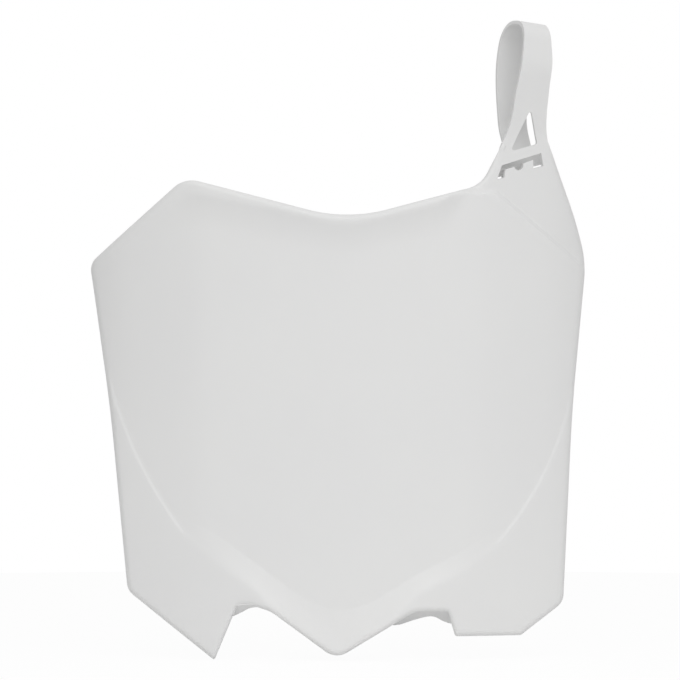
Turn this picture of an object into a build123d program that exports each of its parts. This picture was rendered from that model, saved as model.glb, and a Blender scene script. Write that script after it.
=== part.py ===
from build123d import *
from math import asin, cos, degrees, radians, sin, sqrt
import os

# Frame: +Z up, the board faces -Y, origin in the middle of the lower bolt hole.
# Outline points are (x, height), with the height measured from the tip of the V.

# Plate
wall = 2.4
tip_z = -18.6
crown_y = -36.0
block_low = -12.0
block_high = 290.0
block_depth = 75.0

# Bow of the outer shell, seen from above, and how far its crown stands in front of the panel
shell_radius = 269.0
shell_lead = 4.0
shell_half_angle = 32.0

# Bow of the number panel: a flat middle and two rolled sides
panel_radius = 420.0
panel_flat_half = 85.0
panel_side_radius = 110.0
panel_side_angle = 45.0

# Outline of the plate, clockwise from the tip
tip = (0.0, 0.0)
v_left = (-34.0, 23.0)
notch_left_in = (-44.0, 26.2)
notch_left_out = (-51.2, 26.2)
wing_point = (-63.0, -2.0)
foot_left = (-107.9, 32.8)
side_left = (-117.0, 126.0)
shoulder_left = (-128.0, 200.5)
horn_left = (-78.2, 244.0)
dip = (4.9, 222.2)
tab_root = (73.1, 240.4)
tab_top_left = (84.5, 263.0)
tab_top_right = (107.5, 263.0)
tab_side = (120.4, 224.7)
shoulder_right = (127.6, 194.5)
side_right = (120.5, 126.0)
foot_right = (115.7, 26.6)
heel_right = (93.5, 10.2)
toe_right = (59.7, 10.2)
notch_right_out = (56.0, 24.3)
notch_right_in = (43.0, 24.3)
v_right = (29.0, 17.0)

tip_round = 6.0
v_round = 18.0
notch_round = 2.0
point_round = 0.8
foot_round = 8.0
shoulder_round = 8.0
horn_round = 14.0
dip_round = 80.0
root_round = 16.0
heel_round = 1.5

# Number panel outline and the ends of its two V bevels
crease_left_top = (-122.0, 163.0)
crease_left_mid = (-108.0, 113.0)
crease_left_low = (-79.6, 63.8)
crease_right_top = (120.5, 136.0)
crease_right_mid = (107.5, 97.0)
crease_right_low = (81.6, 58.1)
crease_tab_left = (62.0, 238.0)
crease_tab_corner = (81.6, 236.0)
panel_apex = (0.0, -6.0)
panel_reach = 140.0
panel_top = 262.0
bevel_apex = 26.0
bevel_left_in = (-55.0, 60.0)
bevel_left_out = (-38.0, 31.7)
bevel_right_in = (60.0, 51.5)
bevel_right_out = (38.0, 28.0)

# Strap loop, in a plane tangent to the shell at strap_x: corners (out of the face, height) and their bends
strap_x = 95.5
strap_wall = 2.2
strap_proud = 0.2
strap_start = 252.0
strap_bends = [
    (5.0, 302.0, 40.0),
    (2.6, 326.0, 9.0),
    (-17.0, 327.0, 11.0),
    (-23.5, 298.0, 60.0),
    (-20.0, 270.0, 20.0),
]
strap_first_bend = (266.0, 40.0)
strap_last_bend = (250.5, 8.0)
strap_end_gap = 0.8
slot_overcut = 0.5
strap_end_low = 230.0

# Strap edges: (across the strap, height)
front_left = [(-18.7, 250.0), (-9.4, 268.0), (-5.8, 290.0), (-1.2, 328.0)]
front_right = [(16.3, 250.0), (12.1, 268.0), (11.4, 290.0), (14.0, 328.0)]
rear_left = [(-5.6, 254.0), (-5.8, 290.0), (-1.2, 328.0)]
rear_right = [(10.9, 254.0), (11.4, 290.0), (14.0, 328.0)]
strap_parting = -9.0
end_tilt = 14.0
end_width = 28.0
end_height = 9.0
end_middle = (-0.6, 251.6)
loop_reach = 30.0
tail_width = 12.0
peg = (-3.0, 240.0)
peg_radius = 2.4
peg_clearance = 0.3
peg_head = 0.9
peg_head_wall = 1.2

# Slot, tongue and window in the tab
window = [(2.7, 280.0), (7.2, 261.6), (-7.8, 257.6)]
window_round = 1.0
slot_left_low = (-15.2, 243.0)
slot_left_top = (-12.6, 250.4)
slot_right_top = (9.2, 257.0)
slot_right_low = (10.4, 250.4)
tongue_right_low = (4.9, 248.9)
tongue_right_top = (4.7, 253.4)
tongue_left_top = (-10.7, 248.2)
tongue_left_low = (-11.2, 244.2)
tongue_notch = (-3.3, 250.5)
tongue_notch_radius = 2.6

# Rear lower shelf and its bolt hole
shelf_slope = 15.0
shelf_wall = 2.4
shelf_left = -56.5
shelf_right = 59.5
shelf_depth = 20.0
bolt_radius = 3.25
bolt_tab_half = 11.0

outline_rounds = [
    (tip, tip_round),
    (v_left, v_round),
    (notch_left_in, notch_round),
    (notch_left_out, notch_round),
    (wing_point, point_round),
    (foot_left, foot_round),
    (shoulder_left, shoulder_round),
    (horn_left, horn_round),
    (dip, dip_round),
    (tab_root, root_round),
    (foot_right, foot_round),
    (heel_right, heel_round),
    (toe_right, heel_round),
    (notch_right_out, notch_round),
    (notch_right_in, notch_round),
    (v_right, v_round),
]

front = Plane(origin=(0, crown_y, tip_z), x_dir=(1, 0, 0), z_dir=(0, -1, 0))
plan = Plane(origin=(0, crown_y, tip_z + block_low))
through = 2 * block_depth


def panel_sag(x):
    """Depth of the panel face behind its crown at x, over its flat middle."""
    return panel_radius - sqrt(panel_radius**2 - x**2)


def shell_sag(x):
    """Depth of the shell face behind the panel's crown at x."""
    return shell_radius - sqrt(shell_radius**2 - x**2) - shell_lead


def shell_block(inset):
    """Everything behind the shell face, with the face moved back by inset."""
    with BuildPart() as block:
        with BuildSketch(plan):
            with BuildLine():
                bow = JernArc((0, inset - shell_lead), (1, 0), shell_radius - inset, shell_half_angle)
                Polyline(bow @ 1, ((bow @ 1).X, block_depth), (0, block_depth))
                mirror(about=Plane.YZ)
            make_face()
        extrude(amount=block_high - block_low)
    return block.part


def panel_block(inset):
    """Everything behind the panel face, with the face moved back by inset."""
    flat_angle = degrees(asin(panel_flat_half / panel_radius))
    with BuildPart() as block:
        with BuildSketch(plan):
            with BuildLine():
                middle = JernArc((0, inset), (1, 0), panel_radius - inset, flat_angle)
                side = JernArc(middle @ 1, middle % 1, panel_side_radius - inset, panel_side_angle)
                Polyline(side @ 1, ((side @ 1).X, block_depth), (0, block_depth))
                mirror(about=Plane.YZ)
            make_face()
        extrude(amount=block_high - block_low)
    return block.part


def panel_prism(grow):
    """Prism of the number panel's outline, grown by an offset."""
    with BuildPart() as prism:
        with BuildSketch(front):
            with BuildLine():
                left = ThreePointArc(crease_left_low, crease_left_mid, crease_left_top)
                right = ThreePointArc(crease_right_top, crease_right_mid, crease_right_low)
                Polyline(
                    left @ 1,
                    (-panel_reach, crease_left_top[1]),
                    (-panel_reach, panel_top),
                    (crease_tab_left[0], panel_top),
                    crease_tab_left,
                    crease_tab_corner,
                    shoulder_right,
                    (panel_reach, shoulder_right[1]),
                    (panel_reach, crease_right_top[1]),
                    right @ 0,
                )
                Polyline(right @ 1, panel_apex, left @ 0)
            make_face()
            if grow:
                offset(amount=grow)
        extrude(amount=through, both=True)
    return prism.part


def bevel_plane(inner, outer, inset):
    """Plane of one V bevel, facing the front, from the apex to its inner and outer ends."""
    apex = Vector(0, crown_y + panel_sag(0), tip_z + bevel_apex)
    far = Vector(inner[0], crown_y + panel_sag(inner[0]), tip_z + inner[1])
    low = Vector(outer[0], crown_y + shell_sag(outer[0]), tip_z + outer[1])
    normal = (far - apex).cross(low - apex).normalized()
    if normal.Y > 0:
        normal = normal * -1
    return Plane(origin=apex - normal * inset, x_dir=far - apex, z_dir=normal)


def moulding(inset):
    """Filled form of the board, with every face moved in by inset."""
    with BuildPart() as pocket:
        add(panel_prism(inset))
        add(panel_block(inset), mode=Mode.SUBTRACT)
        split(bisect_by=bevel_plane(bevel_left_in, bevel_left_out, inset), keep=Keep.TOP)
        split(bisect_by=bevel_plane(bevel_right_in, bevel_right_out, inset), keep=Keep.TOP)
    with BuildPart() as raised:
        add(panel_block(inset))
        add(panel_prism(-inset), mode=Mode.INTERSECT)
    with BuildPart() as form:
        add(shell_block(inset))
        add(pocket.part, mode=Mode.SUBTRACT)
        add(raised.part)
    return form.part


def plate_outline():
    """Prism of the plate's front outline, with the tab closed off under the strap."""
    with BuildPart() as prism:
        with BuildSketch(front) as sketch:
            with BuildLine():
                left = ThreePointArc(foot_left, side_left, shoulder_left)
                tab = ThreePointArc(tab_top_right, tab_side, shoulder_right)
                right = ThreePointArc(shoulder_right, side_right, foot_right)
                Polyline(tip, v_left, notch_left_in, notch_left_out, wing_point, left @ 0)
                Polyline(left @ 1, horn_left, dip, tab_root, tab_top_left, tab @ 0)
                Polyline(
                    right @ 1, heel_right, toe_right, notch_right_out, notch_right_in, v_right, tip
                )
            make_face()
            for corner, radius in outline_rounds:
                fillet(sketch.vertices().sort_by_distance(corner)[0], radius)
        extrude(amount=through, both=True)
    return prism.part


# Strap planes: the loop's side view, and the face of the tab at the strap
lean = degrees(asin(strap_x / shell_radius))
foot = Vector(strap_x, crown_y + shell_sag(strap_x), tip_z)
outward = Vector(sin(radians(lean)), -cos(radians(lean)), 0)
across = Vector(cos(radians(lean)), sin(radians(lean)), 0)
loop_plane = Plane(origin=foot, x_dir=outward, z_dir=across * -1)
tab_plane = Plane(origin=foot, x_dir=across, z_dir=outward)
strap_run = strap_proud - strap_wall / 2
end_run = -(wall + strap_end_gap + strap_wall / 2)

# Shelf plane: through the bolt hole, falling away to the rear
fall = radians(shelf_slope)
shelf_plane = Plane(origin=(0, 0, 0), x_dir=(1, 0, 0), z_dir=(0, sin(fall), cos(fall)))
shelf_front = -crown_y / cos(fall)


def tab_prism(edges, near, far):
    """Prism of a closed outline on the tab plane, from near to far along its normal."""
    with BuildPart() as prism:
        with BuildSketch(tab_plane.offset(near)):
            with BuildLine():
                for edge in edges:
                    if len(edge) == 2:
                        Line(*edge)
                    else:
                        Spline(*edge)
            make_face()
        extrude(amount=far - near)
    return prism.part


def strap_band(left, right):
    """Closed outline between two edges of the strap."""
    return [left, (left[-1], right[-1]), right, (right[0], left[0])]


with BuildPart() as strap_trim:
    add(tab_prism(strap_band(front_left, front_right), strap_parting, loop_reach))
    add(tab_prism(strap_band(rear_left, rear_right), strap_parting, -2 * loop_reach))
    with BuildSketch(tab_plane.offset(strap_parting - wall)):
        with Locations(end_middle):
            Rectangle(end_width, end_height, rotation=end_tilt)
        with Locations((peg[0], (peg[1] + end_middle[1]) / 2)):
            Rectangle(tail_width, end_middle[1] - peg[1] + tail_width)
    extrude(amount=-strap_parting)

with BuildPart() as strap:
    with BuildSketch(loop_plane):
        with BuildLine():
            FilletPolyline(
                (strap_run, strap_start),
                (strap_run, strap_first_bend[0]),
                *[(out, height) for out, height, bend in strap_bends],
                (end_run, strap_last_bend[0]),
                (end_run, strap_end_low),
                radius=[strap_first_bend[1], *[bend for out, height, bend in strap_bends], strap_last_bend[1]],
            )
            offset(amount=strap_wall / 2, side=Side.BOTH)
        make_face()
    extrude(amount=loop_reach, both=True)
    add(strap_trim.part, mode=Mode.INTERSECT)
    with BuildSketch(tab_plane):
        with Locations(peg):
            Circle(peg_radius + peg_clearance)
    extrude(amount=-loop_reach / 2, mode=Mode.SUBTRACT)

with BuildPart() as shelf:
    with BuildSketch(shelf_plane):
        with BuildLine():
            Polyline(
                (shelf_left, -shelf_front),
                (shelf_right, -shelf_front),
                (shelf_right, shelf_depth - shelf_front),
                (bolt_tab_half, shelf_depth - shelf_front),
                (bolt_tab_half, 0),
            )
            ThreePointArc((bolt_tab_half, 0), (0, bolt_tab_half), (-bolt_tab_half, 0))
            Polyline(
                (-bolt_tab_half, 0),
                (-bolt_tab_half, shelf_depth - shelf_front),
                (shelf_left, shelf_depth - shelf_front),
                (shelf_left, -shelf_front),
            )
        make_face()
        Circle(bolt_radius, mode=Mode.SUBTRACT)
    extrude(amount=shelf_wall / 2, both=True)
    add(moulding(wall / 2), mode=Mode.INTERSECT)

with BuildPart() as number_board:
    add(moulding(0))
    add(moulding(wall), mode=Mode.SUBTRACT)
    add(plate_outline(), mode=Mode.INTERSECT)
    add(strap.part)
    add(shelf.part)
    with BuildSketch(tab_plane):
        with BuildLine():
            Polyline(
                slot_left_low,
                slot_left_top,
                slot_right_top,
                slot_right_low,
                tongue_right_low,
                tongue_right_top,
                tongue_left_top,
                tongue_left_low,
                close=True,
            )
        make_face()
        with Locations(tongue_notch):
            Circle(tongue_notch_radius)
    extrude(amount=wall + slot_overcut, both=True, mode=Mode.SUBTRACT)
    with BuildSketch(tab_plane) as opening:
        with BuildLine():
            Polyline(*window, close=True)
        make_face()
        fillet(opening.vertices(), window_round)
    extrude(amount=-strap_parting / 2, both=True, mode=Mode.SUBTRACT)
    with BuildSketch(tab_plane.offset(-wall / 2)):
        with Locations(peg):
            Circle(peg_radius)
    extrude(amount=-(wall / 2 + strap_end_gap + strap_wall + peg_clearance + peg_head_wall))
    with BuildSketch(tab_plane.offset(-(wall + strap_end_gap + strap_wall + peg_clearance))):
        with Locations(peg):
            Circle(peg_radius + peg_head)
    extrude(amount=-peg_head_wall)

number_board.part.label = "number_board"
os.makedirs("parts", exist_ok=True)
export_step(number_board.part, "parts/number_board.step")
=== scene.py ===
"""Looks, light and camera for a moulded racing number board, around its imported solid."""
import logging
import math
from collections.abc import Sequence
from dataclasses import dataclass, field
from enum import Enum
from typing import Any

import bpy
import numpy as np
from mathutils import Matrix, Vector
from mathutils.geometry import delaunay_2d_cdt


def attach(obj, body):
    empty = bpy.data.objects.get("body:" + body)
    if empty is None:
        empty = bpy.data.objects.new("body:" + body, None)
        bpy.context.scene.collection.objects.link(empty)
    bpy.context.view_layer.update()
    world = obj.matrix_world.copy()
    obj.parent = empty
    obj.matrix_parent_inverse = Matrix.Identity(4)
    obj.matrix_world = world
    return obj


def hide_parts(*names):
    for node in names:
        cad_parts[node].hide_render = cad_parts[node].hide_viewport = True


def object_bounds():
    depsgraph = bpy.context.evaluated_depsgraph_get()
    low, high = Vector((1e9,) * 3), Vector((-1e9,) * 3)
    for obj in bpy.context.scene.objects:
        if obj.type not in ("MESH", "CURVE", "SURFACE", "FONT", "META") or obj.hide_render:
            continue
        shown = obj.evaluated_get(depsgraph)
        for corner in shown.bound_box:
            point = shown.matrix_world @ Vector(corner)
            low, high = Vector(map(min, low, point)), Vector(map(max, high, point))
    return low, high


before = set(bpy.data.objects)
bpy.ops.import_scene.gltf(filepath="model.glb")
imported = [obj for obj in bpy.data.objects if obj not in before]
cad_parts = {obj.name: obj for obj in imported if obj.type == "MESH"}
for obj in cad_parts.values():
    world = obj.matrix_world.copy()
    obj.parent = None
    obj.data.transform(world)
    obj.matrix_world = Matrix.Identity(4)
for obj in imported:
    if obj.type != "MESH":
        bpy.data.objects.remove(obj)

CAD_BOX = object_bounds()
MM = 0.001
# Keeps a length that something is divided by away from zero
TINY = 1e-12
WHITE = (1.0, 1.0, 1.0, 1.0)
UP = np.array((0.0, 0.0, 1.0))
# The way the board's face looks
FORWARD = np.array((0.0, -1.0, 0.0))

Rows = np.ndarray
Pair = tuple[float, float]
Pairs = tuple[Pair, ...]
Corners = Sequence[tuple[float, float, float]]

log = logging.getLogger("number_board")


class LampRole(Enum):
    """What each studio lamp is there for."""

    KEY = "key_softbox"
    TOP = "top_softbox"


def linear(hex_colour: str) -> tuple[float, float, float, float]:
    """Turn an sRGB hex colour into linear light.

    Args:
        hex_colour: Six hex digits after a hash sign.

    Returns:
        Red, green, blue and an alpha of one.
    """
    channels = [int(hex_colour[i:i + 2], 16) / 255 for i in (1, 3, 5)]
    light = [c / 12.92 if c <= 0.04045 else ((c + 0.055) / 1.055) ** 2.4 for c in channels]
    return (light[0], light[1], light[2], 1.0)


def bare_tree(owner: bpy.types.Material | bpy.types.World) -> bpy.types.NodeTree:
    """Give a material or a world an empty node tree.

    Args:
        owner: What takes the tree.

    Returns:
        The tree.
    """
    owner.use_nodes = True
    owner.node_tree.nodes.clear()
    return owner.node_tree


def add_node(tree: bpy.types.NodeTree, kind: str, settings: dict[str | int, Any] | None = None,
             links: dict[str | int, bpy.types.NodeSocket] | None = None,
             **attributes: Any) -> bpy.types.Node:
    """Add one node with its settings and links.

    Args:
        tree: Tree that takes the node.
        kind: Blender's name of the node type.
        settings: Input socket to the value it holds.
        links: Input socket to the output socket that feeds it.
        **attributes: Properties of the node itself.

    Returns:
        The new node.
    """
    node = tree.nodes.new(kind)
    for name, value in attributes.items():
        setattr(node, name, value)
    for socket, value in (settings or {}).items():
        node.inputs[socket].default_value = value
    for socket, source in (links or {}).items():
        tree.links.new(source, node.inputs[socket])
    return node


def seen_rays(tree: bpy.types.NodeTree) -> bpy.types.NodeSocket:
    """Tell rays that show a surface to the camera from rays that only carry its light.

    Args:
        tree: Tree of the floor's material or the world.

    Returns:
        A socket that is one for a ray that shows the surface, also in a mirror or through glass.
    """
    ray = add_node(tree, "ShaderNodeLightPath").outputs
    seen = ray["Is Camera Ray"]
    for kind in ("Is Glossy Ray", "Is Transmission Ray"):
        seen = add_node(tree, "ShaderNodeMath", links={0: seen, 1: ray[kind]}, operation="MAXIMUM").outputs[0]
    return seen


def placed(name: str, data: bpy.types.ID) -> bpy.types.Object:
    """Make an object and put it in the scene.

    Args:
        name: The object's name.
        data: Its mesh, light or camera.

    Returns:
        The object.
    """
    thing = bpy.data.objects.new(name, data)
    bpy.context.scene.collection.objects.link(thing)
    return thing


def bow(arcs: Pairs, x: Rows) -> Rows:
    """Depth at x of a bow made of tangent arcs, the same on both sides of the middle.

    Args:
        arcs: Radius of each arc and the x where it ends, mm.
        x: Places across the board, mm.

    Returns:
        Depth behind the bow's crown, mm.
    """
    depth, angle, reach = np.zeros_like(x), np.zeros_like(x), 0.0
    for radius, limit in arcs:
        run = np.clip(np.abs(x), reach, limit) - reach
        end = np.arcsin(np.sin(angle) + run / radius)
        depth += radius * (np.cos(angle) - np.cos(end))
        angle, reach = end, limit
    return depth


def fair(rows: Rows, x: Rows) -> Rows:
    """Read a smooth curve through rows of (x, value, ...) at x.

    Args:
        rows: Rows in the order of x.
        x: Places to read.

    Returns:
        One row of values for each x.
    """
    places, values = rows[:, 0], rows[:, 1:]
    slopes = np.gradient(values, places, axis=0)
    x = np.clip(x, places[0], places[-1])
    i = np.clip(np.searchsorted(places, x) - 1, 0, len(places) - 2)
    run = (places[i + 1] - places[i])[:, None]
    t = ((x - places[i])[:, None]) / run
    return ((2 * t**3 - 3 * t**2 + 1) * values[i] + (t**3 - 2 * t**2 + t) * run * slopes[i]
            + (3 * t**2 - 2 * t**3) * values[i + 1] + (t**3 - t**2) * run * slopes[i + 1])


def ease(value: Rows, low: float | Rows, high: float | Rows) -> Rows:
    """Go smoothly from 0 at low to 1 at high."""
    t = np.clip((value - low) / (high - low), 0, 1)
    return t * t * (3 - 2 * t)


def square_to(ways: Rows) -> Rows:
    """Unit vectors a quarter turn to the left of flat ways."""
    return np.stack((-ways[:, 1], ways[:, 0]), axis=1) / np.linalg.norm(ways, axis=1)[:, None]


def circle(middle: Pair, radius: float, sides: int) -> Rows:
    """Points of a circle.

    Args:
        middle: The circle's middle.
        radius: Its radius.
        sides: How many points it has.

    Returns:
        One row for each point.
    """
    angles = np.linspace(0, 2 * math.pi, sides, endpoint=False)
    return np.stack((np.cos(angles), np.sin(angles)), axis=1) * radius + middle


def arc_through(start: Pair, middle: Pair, end: Pair, step: float = 1.5) -> Rows:
    """Points of the circular arc from start through middle to end.

    Args:
        start: First point.
        middle: A point between the two ends.
        end: Last point.
        step: About how far the points are apart.

    Returns:
        One row for each point.
    """
    (ax, ay), (bx, by), (cx, cy) = start, middle, end
    twice = 2 * (ax * (by - cy) + bx * (cy - ay) + cx * (ay - by))
    a, b, c = ax * ax + ay * ay, bx * bx + by * by, cx * cx + cy * cy
    x = (a * (by - cy) + b * (cy - ay) + c * (ay - by)) / twice
    y = (a * (cx - bx) + b * (ax - cx) + c * (bx - ax)) / twice
    first, half, last = [math.atan2(v - y, u - x) for u, v in (start, middle, end)]
    sweep = sum((turn + math.pi) % (2 * math.pi) - math.pi for turn in (half - first, last - half))
    radius = math.hypot(ax - x, ay - y)
    angles = first + np.linspace(0, sweep, max(3, int(radius * abs(sweep) / step)))
    return np.stack((x + radius * np.cos(angles), y + radius * np.sin(angles)), axis=1)


def sharp(points: Rows | Sequence[Pair]) -> list[tuple[float, float, float]]:
    """Make corners with no radius out of points."""
    return [(*point, 0.0) for point in points]


def rounded(corners: Corners, step: float, closed: bool = True) -> Rows:
    """Walk along a line of corners, with each corner rounded.

    Args:
        corners: Place and radius of each corner, mm.
        step: Longest stride, mm.
        closed: Whether the line comes back to its start.

    Returns:
        Points along the line.
    """
    count, line = len(corners), []
    for i, (x, height, radius) in enumerate(corners):
        here = np.array((x, height))
        if radius == 0 or (not closed and i in (0, count - 1)):
            line.append(here)
            continue
        ways = [np.array(corners[j % count][:2]) - here for j in (i - 1, i + 1)]
        back, ahead = [way / np.linalg.norm(way) for way in ways]
        half = math.acos(float(np.clip(back @ ahead, -1, 1))) / 2
        middle = here + (back + ahead) / np.linalg.norm(back + ahead) * radius / math.sin(half)
        start = here + back * radius / math.tan(half) - middle
        end = here + ahead * radius / math.tan(half) - middle
        sweep = math.copysign(math.pi - 2 * half, start[0] * end[1] - start[1] * end[0])
        for angle in np.linspace(0, sweep, max(3, int(radius * abs(sweep) / step) + 2)):
            turn = np.array(((math.cos(angle), -math.sin(angle)), (math.sin(angle), math.cos(angle))))
            line.append(middle + turn @ start)
    ends = line[1:] + (line[:1] if closed else [])
    points = []
    for near, far in zip(line, ends):
        strides = max(1, math.ceil(np.linalg.norm(far - near) / step))
        points += [near + (far - near) * k / strides for k in range(strides)]
    return np.array(points if closed else points + [line[-1]])


def reach_to(line: Rows, points: Rows) -> Rows:
    """Measure how far points are from a closed line.

    Args:
        line: Points of the line.
        points: The points to measure from.

    Returns:
        One distance for each point.
    """
    nearest = np.full(len(points), np.inf)
    for near, far in zip(line, np.roll(line, -1, axis=0)):
        way = far - near
        share = np.clip((points - near) @ way / max(way @ way, TINY), 0, 1)
        nearest = np.minimum(nearest, np.linalg.norm(points - near - share[:, None] * way, axis=1))
    return nearest


def within(line: Rows, points: Rows) -> Rows:
    """Tell which points lie inside a closed line.

    Args:
        line: Points of the line.
        points: The points to test.

    Returns:
        One truth value for each point.
    """
    inside = np.zeros(len(points), bool)
    for (x0, y0), (x1, y1) in zip(line, np.roll(line, -1, axis=0)):
        if y0 != y1:
            spans = (y0 > points[:, 1]) != (y1 > points[:, 1])
            inside ^= spans & (points[:, 0] < x0 + (points[:, 1] - y0) * (x1 - x0) / (y1 - y0))
    return inside


def loose_edges(faces: Rows) -> list[tuple[int, int]]:
    """Find the edges that only one triangle has.

    Args:
        faces: Triangles as rows of three point numbers.

    Returns:
        The two point numbers of each edge, in its triangle's direction.
    """
    seen: dict[tuple[int, int], tuple[int, int]] = {}
    for a, b, c in faces.tolist():
        for edge in ((a, b), (b, c), (c, a)):
            key = (min(edge), max(edge))
            if key in seen:
                del seen[key]
            else:
                seen[key] = edge
    return list(seen.values())


def thickened(points: Rows, faces: Rows, wall: float | Rows, front: Rows, share: float) -> tuple[Rows, Rows]:
    """Give a sheet a wall and close its edges.

    Args:
        points: Points of the sheet, mm.
        faces: Its triangles.
        wall: Thickness, or a column of thicknesses, mm.
        front: Direction that the sheet's front looks.
        share: Part of the wall that stands in front of the sheet.

    Returns:
        Points and triangles of the closed body.
    """
    corners = points[faces]
    tilt = np.cross(corners[:, 1] - corners[:, 0], corners[:, 2] - corners[:, 0])
    if (tilt @ front).sum() < 0:
        faces, tilt = faces[:, ::-1], -tilt
    normals = np.zeros_like(points)
    for k in range(3):
        np.add.at(normals, faces[:, k], tilt)
    normals /= np.maximum(np.linalg.norm(normals, axis=1), TINY)[:, None]
    count = len(points)
    walls = [tri for a, b in loose_edges(faces) for tri in ((b, a, a + count), (b, a + count, b + count))]
    body = np.concatenate((points + normals * wall * share, points - normals * wall * (1 - share)))
    return body, np.concatenate((faces, faces[:, ::-1] + count, np.array(walls)))


@dataclass(frozen=True)
class SheetFill:
    """How a flat outline is filled with triangles; lengths in mm."""

    grid: float
    # Distances of the rows of points that follow the outline inside it
    rows_in: tuple[float, ...] = ()
    # Spacing of the grid's rows, as a share of the grid
    row_pitch: float = 0.866
    # Share of its distance that a row's point keeps from every part of the outline
    row_keep: float = 0.93
    # Room between the last row and the marks or the grid, and round a hole
    mark_gap: float = 0.4
    grid_gap: float = 0.7
    hole_gap: float = 0.5
    # Room between a mark and the grid, as a share of the grid
    mark_spread: float = 0.6
    # Small step that finds the inner side of the outline, and distance at which points are one
    probe: float = 0.05
    merge: float = 1e-5

    def honeycomb(self, outline: Rows) -> Rows:
        """Lay the grid over an outline.

        Args:
            outline: Closed outer line.

        Returns:
            Points in rows that are shifted by half a step.
        """
        low, high = outline.min(axis=0), outline.max(axis=0)
        x, height = np.meshgrid(np.arange(low[0], high[0], self.grid),
                                np.arange(low[1], high[1], self.grid * self.row_pitch))
        x = x + (np.arange(len(x)) % 2)[:, None] * self.grid / 2
        return np.stack((x.ravel(), height.ravel()), axis=1)

    def clear(self, points: Rows, outline: Rows, holes: list[Rows], gap: float) -> Rows:
        """Keep the points inside an outline that have room round them.

        Args:
            points: The points to choose from.
            outline: Closed outer line.
            holes: Closed lines of the openings.
            gap: Room to the outline.

        Returns:
            The points that stay.
        """
        points = points[within(outline, points)]
        free = reach_to(outline, points) > gap
        for hole in holes:
            free &= ~within(hole, points) & (reach_to(hole, points) > self.hole_gap)
        return points[free]

    def inner_points(self, outline: Rows, holes: list[Rows], marks: list[Rows]) -> list[Rows]:
        """Choose the points inside an outline.

        Args:
            outline: Closed outer line.
            holes: Closed lines of the openings.
            marks: More points that the triangles meet.

        Returns:
            Points of the rows, the marks and the grid.
        """
        side = square_to(np.roll(outline, -1, axis=0) - np.roll(outline, 1, axis=0))
        if not within(outline, outline[:1] + side[:1] * self.probe)[0]:
            side = -side
        border = max(self.rows_in, default=0)
        rows = [self.clear(outline + side * row, outline, holes, row * self.row_keep) for row in self.rows_in]
        middle = self.clear(self.honeycomb(outline), outline, holes, border + self.grid_gap)
        if not marks:
            return [*rows, middle]
        marked = self.clear(np.concatenate(marks), outline, holes, border + self.mark_gap)
        apart = np.array([np.min(np.linalg.norm(marked - point, axis=1)) for point in middle])
        return [*rows, marked, middle[apart > self.mark_spread * self.grid]]

    def triangles(self, outline: Rows, holes: list[Rows], marks: list[Rows]) -> tuple[Rows, Rows]:
        """Fill an outline with triangles.

        Args:
            outline: Closed outer line.
            holes: Closed lines of the openings.
            marks: More points that the triangles meet.

        Returns:
            Points, and triangles as rows of three point numbers.
        """
        loops, edges, start = [outline, *holes], [], 0
        for loop in loops:
            edges += [(start + k, start + (k + 1) % len(loop)) for k in range(len(loop))]
            start += len(loop)
        flat = np.concatenate([*loops, *self.inner_points(outline, holes, marks)])
        found = delaunay_2d_cdt([Vector(point) for point in flat], edges, [], 0, self.merge)
        points, faces = np.array([tuple(point) for point in found[0]]), np.array(found[2])
        middles = points[faces].mean(axis=1)
        good = within(outline, middles)
        for hole in holes:
            good &= ~within(hole, middles)
        return points, faces[good]


@dataclass(frozen=True)
class MouldedPolypropylene:
    """White polypropylene, injection moulded in a satin tool.

    The tool's fine spark-eroded grain breaks up reflections, so the eye sees a soft
    sheen with no mirror image, and slow flow of the melt leaves faint, broad changes in gloss.
    """

    colour: str = "#E3E3E2"
    flow_colour: str = "#DFDFDF"
    roughness_low: float = 0.40
    roughness_high: float = 0.50
    ior: float = 1.49
    grain_mm: float = 0.9
    grain_height_mm: float = 0.012
    grain_strength: float = 0.6
    grain_detail: float = 3.0
    flow_mm: float = 70.0
    flow_detail: float = 2.0

    def material(self) -> bpy.types.Material:
        """Make the material.

        Returns:
            A material with the moulded plastic's shader.
        """
        material = bpy.data.materials.new("injection_moulded_white_polypropylene")
        tree = bare_tree(material)
        place = add_node(tree, "ShaderNodeTexCoord").outputs["Object"]
        flow = add_node(tree, "ShaderNodeTexNoise",
                        {"Scale": 1 / (self.flow_mm * MM), "Detail": self.flow_detail}, {"Vector": place})
        shade = add_node(tree, "ShaderNodeMix", {6: linear(self.flow_colour), 7: linear(self.colour)},
                         {0: flow.outputs["Fac"]}, data_type="RGBA")
        gloss = add_node(tree, "ShaderNodeMapRange",
                         {"To Min": self.roughness_low, "To Max": self.roughness_high},
                         {"Value": flow.outputs["Fac"]})
        # The tool's grain is finer than this; it is drawn as coarse as it needs to show.
        grain = add_node(tree, "ShaderNodeTexNoise",
                         {"Scale": 1 / (self.grain_mm * MM), "Detail": self.grain_detail}, {"Vector": place})
        relief = add_node(tree, "ShaderNodeBump",
                          {"Strength": self.grain_strength, "Distance": self.grain_height_mm * MM},
                          {"Height": grain.outputs["Fac"]})
        shader = add_node(tree, "ShaderNodeBsdfPrincipled", {"IOR": self.ior},
                          {"Base Color": shade.outputs[2], "Roughness": gloss.outputs["Result"],
                           "Normal": relief.outputs["Normal"]})
        add_node(tree, "ShaderNodeOutputMaterial", links={"Surface": shader.outputs["BSDF"]})
        return material


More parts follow.
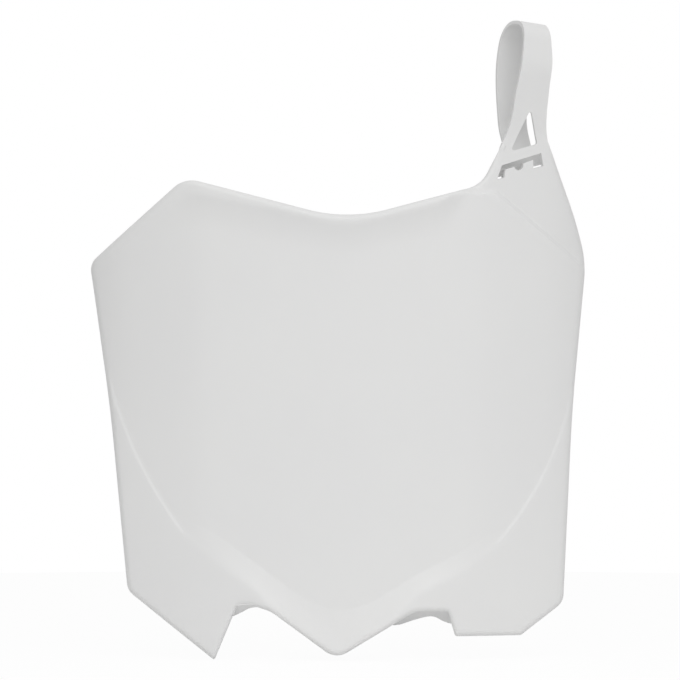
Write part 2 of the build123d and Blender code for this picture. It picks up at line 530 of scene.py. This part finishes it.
@dataclass(frozen=True)
class StudioPaper:
    """Matt white background paper, which shows only the board's soft shadow."""

    colour: str = "#F4F4F4"
    glow: float = 0.95

    def material(self) -> bpy.types.Material:
        """Make the material.

        Returns:
            A matt white that the camera sees a little brighter than its light.
        """
        material = bpy.data.materials.new("matt_white_studio_paper")
        tree = bare_tree(material)
        lift = add_node(tree, "ShaderNodeMath", {1: self.glow}, {0: seen_rays(tree)}, operation="MULTIPLY")
        matt = add_node(tree, "ShaderNodeBsdfDiffuse", {"Color": linear(self.colour)})
        white = add_node(tree, "ShaderNodeEmission", {"Strength": 1.0})
        mix = add_node(tree, "ShaderNodeMixShader",
                       links={0: lift.outputs[0], 1: matt.outputs[0], 2: white.outputs[0]})
        add_node(tree, "ShaderNodeOutputMaterial", links={"Surface": mix.outputs[0]})
        return material


@dataclass
class Strap:
    """Moulded strap that rises from the tab, goes over the handlebar and ends behind the slot.

    Lengths are in mm. Laid flat, the strap goes on from the board's height axis at start.
    """

    x: float = 95.5
    wall: float = 1.7
    start: float = 250.0
    flat_from: float = 268.0
    line_step: float = 0.4
    edge_step: float = 1.5
    # Middle line seen from the side: out of the tab's face, height, corner radius
    side_view: Corners = (
        (-0.9, 250.0, 0.0), (-0.9, 266.0, 40.0), (5.0, 302.0, 40.0), (2.6, 323.5, 9.0), (-20.0, 324.5, 13.0),
        (-23.5, 298.0, 60.0), (-20.0, 270.0, 20.0), (-8.3, 250.5, 8.0), (-8.3, 230.0, 0.0))
    # Distance along the strap, and its left and right edge there
    edges: Corners = (
        (250.0, -18.7, 16.3), (268.0, -9.4, 12.1), (290.0, -5.8, 12.1), (306.0, -3.2, 13.2),
        (322.0, -1.6, 12.8), (332.0, -2.2, 12.6), (342.0, -3.7, 12.2), (356.0, -5.6, 11.2),
        (372.0, -6.2, 10.0), (404.7, -5.6, 9.4))
    # The loop's top leans: fall across the strap, and where along it the lean grows and goes
    lean_top: float = 0.12
    lean_from: Pair = (285.0, 320.0)
    lean_to: Pair = (345.0, 385.0)
    # Crossbar and end of the strap: across, along
    tail: Pairs = (
        (9.4, 406.1), (13.2, 407.3), (13.2, 415.5), (3.0, 418.3), (3.0, 437.5), (-9.0, 437.5), (-9.0, 422.1),
        (-12.2, 422.9), (-12.2, 413.9), (-5.6, 412.1))
    # Peg behind the tab: across and height, its hole's place along the strap, radius and distance out
    peg: Pair = (-3.0, 240.0)
    peg_along: float = 427.8
    peg_radius: float = 2.4
    peg_clearance: float = 0.3
    peg_sides: int = 24
    peg_profile: Pairs = (
        (2.4, -1.2), (2.4, -9.6), (3.0, -9.7), (3.3, -10.0), (3.3, -10.6), (2.9, -10.9), (0.0, -10.9))

    def line(self) -> tuple[Rows, Rows]:
        """Middle line of the strap in its side view.

        Returns:
            Distances along the strap, and rows of (out of the face, height).
        """
        points = rounded(self.side_view, self.line_step, closed=False)
        runs = np.linalg.norm(np.diff(points, axis=0), axis=1)
        return self.start + np.concatenate(([0.0], np.cumsum(runs))), points

    def leaning(self, along: Rows) -> Rows:
        """Share of the top's lean at distances along the strap."""
        return ease(along, *self.lean_from) * (1 - ease(along, *self.lean_to))

    def rim(self, low: float) -> Rows:
        """Edge of the strap laid flat.

        Args:
            low: Distance along the strap where its root is.

        Returns:
            Rows of (across, along): up the left edge, round the end and back down the right edge.
        """
        rows = np.array(self.edges)
        along = np.arange(low, rows[-1, 0], self.edge_step)
        left, right = [np.stack((side, along), axis=1) for side in fair(rows, along).T]
        end = rounded(sharp(self.tail[::-1]), self.edge_step, closed=False)
        return np.concatenate((left, end, right[::-1]))


@dataclass
class BoardForm:
    """Front face of the board as a depth at each place (x, height above the tip), in mm."""

    tip_z: float = -18.6
    crown_y: float = -36.0
    # Bows of the shell and the number panel: radius of each arc and the x where it ends
    shell_arcs: Pairs = ((269.0, 106.0), (70.0, 134.0))
    shell_lead: float = 4.0
    panel_arcs: Pairs = ((420.0, 66.0), (80.0, 75.8), (266.0, 106.0), (70.0, 134.0))
    # The tab lies behind the shell, beyond this x and height
    tab_step: float = 3.0
    tab_from: Pair = (62.0, 165.0)
    crease_width: float = 2.2
    tab_crease_width: float = 2.4
    # Radius of the rolled edges, and the heights between which they run out into the strap
    roll: float = 2.7
    roll_fade: Pair = (246.0, 262.0)
    # Edge of the panel: arcs through three points at the sides, and a line at the tab
    crease_left: Pairs = ((-79.6, 63.8), (-108.0, 113.0), (-122.0, 163.0))
    crease_right: Pairs = ((120.5, 136.0), (107.5, 97.0), (81.6, 58.1))
    crease_tab: Pairs = ((62.0, 238.0), (81.6, 236.0), (131.0, 194.8))
    panel_top: float = 262.0
    panel_reach: float = 140.0
    panel_apex: Pair = (0.0, -6.0)
    # Hollow V bevels: x, height of the upper line, slope there in degrees, radius of the hollow
    bevel: tuple[tuple[float, float, float, float], ...] = (
        (-80.0, 71.0, 0.6, 300.0), (-60.0, 61.0, 3.5, 140.0), (-45.0, 50.0, 6.0, 80.0),
        (0.0, 24.0, 3.4, 300.0), (45.0, 44.4, 9.0, 48.0), (60.0, 52.0, 5.0, 90.0), (80.0, 64.0, 0.6, 300.0))
    # How softly a bevel ends on the shell, and the largest sine of its slope
    bevel_blend: float = 0.25
    bevel_limit: float = 0.98
    # Cove below the top edge: x, height of its lower line, radius of the hollow
    cove: Corners = (
        (-134.0, 170.0, 80.0), (-77.0, 219.0, 72.0), (5.0, 203.0, 60.0), (56.0, 215.0, 60.0),
        (80.0, 257.0, 60.0))
    # How far it comes forward, how softly its lower line turns, and the part of its radius that is used
    cove_rise: float = 2.3
    cove_ease: float = 5.0
    cove_limit: float = 0.9

    def panel_line(self) -> Rows:
        """Outline of the number panel, down to the apex behind the V.

        Returns:
            Points of the closed line, which goes past the board's own outline.
        """
        reach = self.panel_reach
        corners = [(-reach, self.crease_left[-1][1]), (-reach, self.panel_top),
                   (self.tab_from[0], self.panel_top), *self.crease_tab,
                   (reach, self.crease_tab[-1][1]), (reach, self.crease_right[0][1])]
        return np.concatenate((arc_through(*self.crease_left), corners, arc_through(*self.crease_right),
                               [self.panel_apex]))

    def bevelled(self, x: Rows, height: Rows, shell: Rows) -> Rows:
        """Depth of the panel with its two V bevels, which end on the shell.

        Args:
            x: Places across the board.
            height: Their heights above the tip.
            shell: Depth of the shell there.

        Returns:
            One depth for each place.
        """
        line, slope, radius = fair(np.array(self.bevel), x).T
        lead = np.radians(slope)
        below = np.clip(line - height, 0, None)
        turn = np.arcsin(np.minimum(np.sin(lead) + below / radius, self.bevel_limit))
        bevel = bow(self.panel_arcs, x) - radius * (np.cos(lead) - np.cos(turn))
        gap = np.abs(bevel - shell) / self.bevel_blend
        return np.maximum(bevel, shell) + self.bevel_blend * np.log1p(np.exp(-gap))

    def cove_lift(self, x: Rows, height: Rows) -> Rows:
        """How far the cove below the top edge comes forward.

        Args:
            x: Places across the board.
            height: Their heights above the tip.

        Returns:
            One length for each place.
        """
        rows = np.array(self.cove)
        shifts = (-self.cove_ease, 0.0, self.cove_ease)
        foot = np.mean([np.interp(x + shift, rows[:, 0], rows[:, 1]) for shift in shifts], axis=0)
        hollow = np.interp(x, rows[:, 0], rows[:, 2])
        above = np.clip(height - foot, 0, self.cove_limit * hollow)
        return np.minimum(self.cove_rise, hollow - np.sqrt(hollow**2 - above**2))

    def depth(self, points: Rows, edge: Rows) -> Rows:
        """Depth of the front face behind the panel's crown.

        Args:
            points: Places on the board.
            edge: Distance of each place to the board's outline.

        Returns:
            One depth for each place.
        """
        x, height = points[:, 0], points[:, 1]
        shell = bow(self.shell_arcs, x) - self.shell_lead
        inner = self.bevelled(x, height, shell) - self.cove_lift(x, height)
        tab = (x > self.tab_from[0]) & (height > self.tab_from[1])
        outer = shell + self.tab_step * tab
        panel_line = self.panel_line()
        side = np.where(within(panel_line, points), 1, -1) * reach_to(panel_line, points)
        half = np.where(tab, self.tab_crease_width, self.crease_width) / 2
        face = outer + (inner - outer) * ease(side, -half, half)
        left = self.roll - np.clip(edge, 0, self.roll)
        rolled = self.roll - np.sqrt(self.roll**2 - left**2)
        return face + rolled * (1 - ease(height, *self.roll_fade))

    def place(self, points: Rows, edge: Rows, strap: Strap) -> Rows:
        """Put flat places on the board's front face, and those beyond the tab on the strap.

        Args:
            points: Places on the board laid flat.
            edge: Distance of each place to the board's outline.
            strap: The strap.

        Returns:
            Rows of x, y and z in mm.
        """
        x, height = points[:, 0], points[:, 1]
        plate = np.stack((x, self.crown_y + self.depth(points, edge), height + self.tip_z), axis=1)
        along, line = strap.line()
        outer = line - square_to(np.gradient(line, along, axis=0)) * strap.wall / 2
        out, up = [np.interp(height, along, outer[:, k])[:, None] for k in (0, 1)]
        across = ((x - strap.x) / math.cos(self.strap_lean(strap)))[:, None]
        up = up - strap.lean_top * across * strap.leaning(height)[:, None]
        sideways, outwards = self.strap_axes(strap)
        band = self.strap_foot(strap) + across * sideways + out * outwards + up * UP
        return plate + (band - plate) * ease(height, strap.start, strap.flat_from)[:, None]

    def strap_lean(self, strap: Strap) -> float:
        """Angle of the tab's face at the strap, seen from above."""
        return math.asin(strap.x / self.shell_arcs[0][0])

    def strap_axes(self, strap: Strap) -> tuple[Rows, Rows]:
        """Unit vectors across the strap and out of the tab's face."""
        sine, cosine = math.sin(self.strap_lean(strap)), math.cos(self.strap_lean(strap))
        return np.array((cosine, sine, 0.0)), np.array((sine, -cosine, 0.0))

    def strap_foot(self, strap: Strap) -> Rows:
        """Point of the tab's face from which the strap's heights count."""
        depth = float(bow(self.shell_arcs, np.array([strap.x]))[0]) - self.shell_lead + self.tab_step
        return np.array((strap.x, self.crown_y + depth, self.tip_z))


@dataclass
class Shelf:
    """Sloping shelf behind the V, with a tongue for the lower bolt; mm and degrees."""

    wall: float = 2.4
    slope: float = 15.0
    side_slope: float = 26.0
    # The slope changes between these two distances from the middle
    turn_from: float = 13.0
    turn_to: float = 32.0
    half_tongue: float = 10.5
    bolt_radius: float = 3.25
    # Rear edge, x and depth behind the crown: from the right end to the tongue, and on to the left end
    right_edge: Pairs = (
        (62.5, 21.5), (60.5, 24.0), (57.5, 23.5), (54.0, 20.8), (48.0, 15.0), (40.0, 18.6), (28.5, 27.0),
        (16.0, 30.0), (10.5, 34.0))
    left_edge: Pairs = (
        (-10.5, 34.0), (-15.0, 22.0), (-26.0, 9.0), (-36.0, 4.4), (-44.0, 4.8), (-49.0, 10.0), (-54.0, 15.2),
        (-58.0, 17.5), (-60.5, 15.5))
    front_points: int = 60
    rear_points: int = 40
    hole_sides: int = 40
    # The front edge is found in rounds from a first depth, away from the board's rolled edge
    first_depth: float = 4.0
    rounds: int = 6
    off_edge: float = 9.0
    fill: SheetFill = SheetFill(3.0)

    def height(self, x: Rows, depth: Rows, crown_y: float) -> Rows:
        """Height of the shelf's middle plane, which is steeper towards its two ends.

        Args:
            x: Places across the board.
            depth: Their depth behind the crown.
            crown_y: Where the crown is in the frame.

        Returns:
            One z for each place.
        """
        steep = ease(np.abs(x), self.turn_from, self.turn_to)
        fall = np.radians(self.slope + (self.side_slope - self.slope) * steep)
        return -crown_y * math.tan(math.radians(self.slope)) - depth * np.tan(fall)

    def front_edge(self, form: BoardForm) -> Rows:
        """Find where the shelf meets the board.

        Args:
            form: The board's front face.

        Returns:
            Rows of x and depth in the middle of the board's wall.
        """
        x = np.linspace(self.left_edge[-1][0], self.right_edge[0][0], self.front_points)
        depth = np.full_like(x, self.first_depth)
        for _ in range(self.rounds):
            places = np.stack((x, self.height(x, depth, form.crown_y) - form.tip_z), axis=1)
            depth = form.depth(places, np.full_like(x, self.off_edge)) + self.wall / 2
        return np.stack((x, depth), axis=1)

    def rear_edge(self, rows: Pairs) -> Rows:
        """Draw one half of the rear edge as a smooth curve.

        Args:
            rows: Points that the curve goes through.

        Returns:
            Rows of x and depth.
        """
        t = np.arange(len(rows), dtype=float)
        return fair(np.column_stack((t, np.array(rows))), np.linspace(0, t[-1], self.rear_points))

    def build(self, form: BoardForm) -> tuple[Rows, Rows]:
        """Fill the shelf's outline.

        Args:
            form: The board's front face, which the shelf grows from.

        Returns:
            Points in mm and triangles of the shelf's middle sheet.
        """
        tongue = arc_through((self.half_tongue, -form.crown_y), (0.0, self.half_tongue - form.crown_y),
                             (-self.half_tongue, -form.crown_y))
        outline = np.concatenate((self.front_edge(form), self.rear_edge(self.right_edge), tongue,
                                  self.rear_edge(self.left_edge)))
        hole = circle((0.0, -form.crown_y), self.bolt_radius, self.hole_sides)
        points, faces = self.fill.triangles(outline, [hole], [])
        x, depth = points[:, 0], points[:, 1]
        return np.stack((x, form.crown_y + depth, self.height(x, depth, form.crown_y)), axis=1), faces


@dataclass
class NumberBoard:
    """The moulded board in one piece: plate, strap, shelf and peg, with rolled edges; mm."""

    node: str = "number_board"
    body: str = "root"
    slot: str = "white_plastic"
    wall: float = 2.4
    # Depth of the returned rim, and what is left of it on the strap
    return_depth: float = 2.8
    least_return: float = 0.02
    stride: float = 1.5
    cut_stride: float = 1.0
    # Distance at which a point counts as one of the outline
    on_edge: float = 0.05
    sharp_angle: float = 42.0
    # Rows of points beside a crease, as shares of its width, and points along the tab's crease and the V
    crease_marks: tuple[float, ...] = (-0.5, -0.25, 0.0, 0.25, 0.5)
    tab_crease_points: int = 42
    bevel_points: int = 130
    fill: SheetFill = SheetFill(1.7, (0.1, 0.36, 0.8, 1.4, 2.05, 2.8))
    form: BoardForm = field(default_factory=BoardForm)
    strap: Strap = field(default_factory=Strap)
    shelf: Shelf = field(default_factory=Shelf)
    finish: MouldedPolypropylene = MouldedPolypropylene()
    # Outline of the plate: x, height and corner radius, from the tip to the tab, and from the tab to the tip
    left_outline: Corners = (
        (-1.0, -1.2, 10.0), (-34.0, 23.0, 18.0), (-44.0, 26.2, 2.0), (-51.2, 26.2, 2.0), (-63.0, -2.0, 0.8),
        (-107.9, 32.8, 8.0), (-117.0, 126.0, 900.0), (-127.85, 200.5, 8.0), (-78.2, 244.0, 14.0),
        (4.9, 222.2, 80.0), (73.1, 240.4, 16.0))
    right_outline: Corners = (
        (122.2, 223.4, 200.0), (127.9, 202.0, 50.0), (120.5, 126.0, 800.0), (115.7, 26.6, 8.0),
        (93.5, 10.2, 1.5), (59.7, 10.2, 1.5), (56.0, 22.9, 2.0), (39.2, 22.9, 12.0), (29.0, 17.0, 18.0))
    tab_top: float = 263.0
    # Slot round the tongue, across the tab and height: up to the tongue's notch, and on from it
    slot_line: Pairs = (
        (-15.2, 243.0), (-12.6, 250.4), (9.2, 257.0), (10.4, 250.4), (4.9, 248.9), (4.7, 253.4))
    slot_end: Pairs = ((-10.7, 248.2), (-11.2, 244.2))
    tongue_notch: tuple[float, float, float] = (-3.3, 250.6, 2.6)
    notch_points: int = 12
    window: Corners = ((2.7, 280.0, 1.0), (7.2, 261.6, 1.0), (-7.8, 257.6, 1.0))
    peg_hole_sides: int = 20

    def on_tab(self, line: Rows) -> Rows:
        """Turn (across the tab, height) into (x, height)."""
        shift = math.cos(self.form.strap_lean(self.strap))
        return np.stack((self.strap.x + line[:, 0] * shift, line[:, 1]), axis=1)

    def outline(self) -> Rows:
        """Closed outline of the plate and the strap laid flat."""
        strap = sharp(self.on_tab(self.strap.rim(self.tab_top)))
        return rounded([*self.left_outline, *strap, *self.right_outline], self.stride)

    def openings(self) -> list[Rows]:
        """Draw the openings in the plate and the strap laid flat.

        Returns:
            Slot round the tongue, window in the strap, and the strap end's hole for the peg.
        """
        x, height, radius = self.tongue_notch
        way = np.array(self.slot_end[0]) - np.array(self.slot_line[-1])
        way /= np.linalg.norm(way)
        down = np.array((-way[1], way[0]))
        notch = [np.array((x, height)) - way * radius * math.cos(a) + down * radius * math.sin(a)
                 for a in np.linspace(0, math.pi, self.notch_points)]
        slot = self.on_tab(np.concatenate((self.slot_line, notch, self.slot_end)))
        hole = circle((self.strap.peg[0], self.strap.peg_along),
                      self.strap.peg_radius + self.strap.peg_clearance, self.peg_hole_sides)
        window = rounded(self.window, self.cut_stride)
        return [rounded(sharp(slot), self.cut_stride), self.on_tab(window), self.on_tab(hole)]

    def marks(self) -> list[Rows]:
        """Lay points beside the creases and along the V's upper line.

        Returns:
            Rows of points, which keep the triangles in line with these forms.
        """
        form = self.form
        start, end = np.array(form.crease_tab[1:])
        tab = start + np.linspace(0, 1, self.tab_crease_points)[:, None] * (end - start)
        x = np.linspace(form.bevel[0][0], form.bevel[-1][0], self.bevel_points)
        bevel = np.stack((x, fair(np.array(form.bevel), x)[:, 0]), axis=1)
        beside = []
        for line, width in ((arc_through(*form.crease_left), form.crease_width),
                            (arc_through(*form.crease_right), form.crease_width),
                            (tab, form.tab_crease_width), (bevel, form.crease_width)):
            side = square_to(np.gradient(line, axis=0))
            beside += [line + side * mark * width for mark in self.crease_marks]
        return beside

    def plate(self) -> tuple[Rows, Rows, Rows]:
        """Front face of the plate and the strap, with its edges turned back.

        Returns:
            Points in mm, triangles, and a column of wall thicknesses.
        """
        form, strap, outline = self.form, self.strap, self.outline()
        flat, faces = self.fill.triangles(outline, self.openings(), self.marks())
        edge, height = reach_to(outline, flat), flat[:, 1]
        points = form.place(flat, edge, strap)
        turned = (edge < self.on_edge) & (height < form.roll_fade[1])
        rim = [(a, b) for a, b in loose_edges(faces) if turned[a] and turned[b]]
        ring = sorted({corner for ends in rim for corner in ends})
        number = {corner: len(points) + k for k, corner in enumerate(ring)}
        back = self.return_depth * (1 - ease(height[ring], *form.roll_fade)) + self.least_return
        points = np.concatenate((points, points[ring] - back[:, None] * FORWARD))
        walls = [tri for a, b in rim for tri in ((b, a, number[a]), (b, number[a], number[b]))]
        thin = ease(np.concatenate((height, height[ring])), strap.start, strap.flat_from)
        wall = self.wall + (strap.wall - self.wall) * thin
        return points, np.concatenate((faces, np.array(walls))), wall[:, None]

    def peg(self) -> tuple[Rows, Rows]:
        """Peg behind the tab that holds the strap's end, as a turned profile.

        Returns:
            Points in mm and triangles.
        """
        strap, sides = self.strap, self.strap.peg_sides
        across, out = self.form.strap_axes(strap)
        middle = self.form.strap_foot(strap) + across * strap.peg[0] + UP * strap.peg[1]
        points, faces = [], []
        for radius, run in strap.peg_profile:
            points += [middle + out * run + across * u + UP * v for u, v in circle((0.0, 0.0), radius, sides)]
        for start in range(0, sides * (len(strap.peg_profile) - 1), sides):
            for i in range(sides):
                a, b = start + i, start + (i + 1) % sides
                faces += [(a, b, a + sides), (b, b + sides, a + sides)]
        return np.array(points), np.array(faces)

    def build(self) -> bpy.types.Object:
        """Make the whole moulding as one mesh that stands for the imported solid.

        Returns:
            The board's object.
        """
        plate = thickened(*self.plate(), front=FORWARD, share=0.0)
        shelf = thickened(*self.shelf.build(self.form), wall=self.shelf.wall, front=UP, share=0.5)
        points, faces = [], []
        for part_points, part_faces in (plate, shelf, self.peg()):
            faces.append(part_faces + sum(len(p) for p in points))
            points.append(part_points)
        mesh = bpy.data.meshes.new("number_board_moulding")
        mesh.from_pydata((np.concatenate(points) * MM).tolist(), [], np.concatenate(faces).tolist())
        mesh.validate()
        mesh.shade_smooth()
        mesh.set_sharp_from_angle(angle=math.radians(self.sharp_angle))
        mesh.materials.append(self.finish.material())
        board = placed("number_board_moulding", mesh)
        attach(board, self.body)
        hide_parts(self.node)
        return board


@dataclass(frozen=True)
class Softbox:
    """One square softbox that looks at the middle of the board; metres and watts."""

    role: LampRole
    place: tuple[float, float, float]
    side: float
    watts: float

    def build(self) -> bpy.types.Object:
        """Hang the softbox.

        Returns:
            The lamp's object.
        """
        light = bpy.data.lights.new(self.role.value, "AREA")
        light.shape = "SQUARE"
        light.size = self.side
        light.energy = self.watts
        lamp = placed(self.role.value, light)
        lamp.location = self.place
        middle = (CAD_BOX[0] + CAD_BOX[1]) / 2
        lamp.rotation_euler = (middle - Vector(self.place)).to_track_quat("-Z", "Y").to_euler()
        return lamp


@dataclass
class Studio:
    """Pale floor, white surround and soft lamps round the board; metres."""

    floor_drop: float = 0.0005
    floor_radius: float = 0.9
    floor_sides: int = 96
    # Strength of the surround's light from straight above and straight below
    zenith: float = 0.62
    nadir: float = 0.15
    paper: StudioPaper = StudioPaper()
    lamps: tuple[Softbox, ...] = (
        Softbox(LampRole.KEY, (0.24, -1.7, 1.1), 2.0, 18.6),
        Softbox(LampRole.TOP, (0.1, -0.4, 1.6), 1.2, 2.4),
    )

    def floor(self) -> bpy.types.Object:
        """Lay the floor below the board.

        Returns:
            The floor's object.
        """
        height = CAD_BOX[0].z - self.floor_drop
        rim = [(x, y, height) for x, y in circle((0.0, 0.0), self.floor_radius, self.floor_sides)]
        mesh = bpy.data.meshes.new("studio_floor")
        mesh.from_pydata(rim, [], [list(range(self.floor_sides))])
        mesh.materials.append(self.paper.material())
        floor = placed("studio_floor", mesh)
        return floor

    def surround(self) -> bpy.types.World:
        """Make the surround: white to the camera, and a light that grows towards the top.

        Returns:
            The scene's world.
        """
        world = bpy.data.worlds.new("white_studio")
        bpy.context.scene.world = world
        tree = bare_tree(world)
        way = add_node(tree, "ShaderNodeSeparateXYZ",
                       links={0: add_node(tree, "ShaderNodeTexCoord").outputs["Generated"]})
        climb = add_node(tree, "ShaderNodeMapRange",
                         {"From Min": -1.0, "From Max": 1.0, "To Min": self.nadir, "To Max": self.zenith},
                         {"Value": way.outputs["Z"]})
        dome = add_node(tree, "ShaderNodeBackground", {"Color": WHITE}, {"Strength": climb.outputs["Result"]})
        white = add_node(tree, "ShaderNodeBackground", {"Color": WHITE, "Strength": 1.0})
        mix = add_node(tree, "ShaderNodeMixShader",
                       links={0: seen_rays(tree), 1: dome.outputs[0], 2: white.outputs[0]})
        add_node(tree, "ShaderNodeOutputWorld", links={"Surface": mix.outputs[0]})
        return world


@dataclass
class PhotoCamera:
    """Camera in front of the board, at the photograph's angle and framing."""

    image_px: int = 680
    mm_per_px: float = 0.51
    # Where the board's middle and tip are in the picture
    middle_x_px: float = 338.0
    tip_y_px: float = 656.0
    tip_z_mm: float = BoardForm.tip_z
    scale_plane_y_mm: float = -28.0
    distance_mm: float = 2400.0
    sensor_mm: float = 36.0
    far_m: float = 100.0

    def build(self) -> bpy.types.Object:
        """Set up the camera and make it the scene's own.

        Returns:
            The camera's object.
        """
        half = self.image_px / 2
        across = (half - self.middle_x_px) * self.mm_per_px
        height = (self.tip_y_px - half) * self.mm_per_px + self.tip_z_mm
        camera = bpy.data.cameras.new("photo_camera")
        camera.sensor_width = self.sensor_mm
        camera.lens = self.sensor_mm * self.distance_mm / (self.image_px * self.mm_per_px)
        camera.clip_end = self.far_m
        eye = placed("photo_camera", camera)
        eye.location = Vector((across, self.scale_plane_y_mm - self.distance_mm, height)) * MM
        eye.rotation_euler = (math.pi / 2, 0.0, 0.0)
        bpy.context.scene.camera = eye
        return eye


def main() -> None:
    """Dress the board and set up the studio and the camera."""
    logging.basicConfig(level=logging.INFO, format="%(name)s: %(message)s")
    bpy.context.scene.view_settings.view_transform = "Standard"
    board = NumberBoard().build()
    log.info("piece %s with %d faces", board.name, len(board.data.polygons))
    studio = Studio()
    log.info("stage %s", studio.floor().name)
    log.info("world %s", studio.surround().name)
    for lamp in studio.lamps:
        log.info("lamp %s", lamp.build().name)
    log.info("camera %s", PhotoCamera().build().name)


if __name__ == "__main__":
    main()
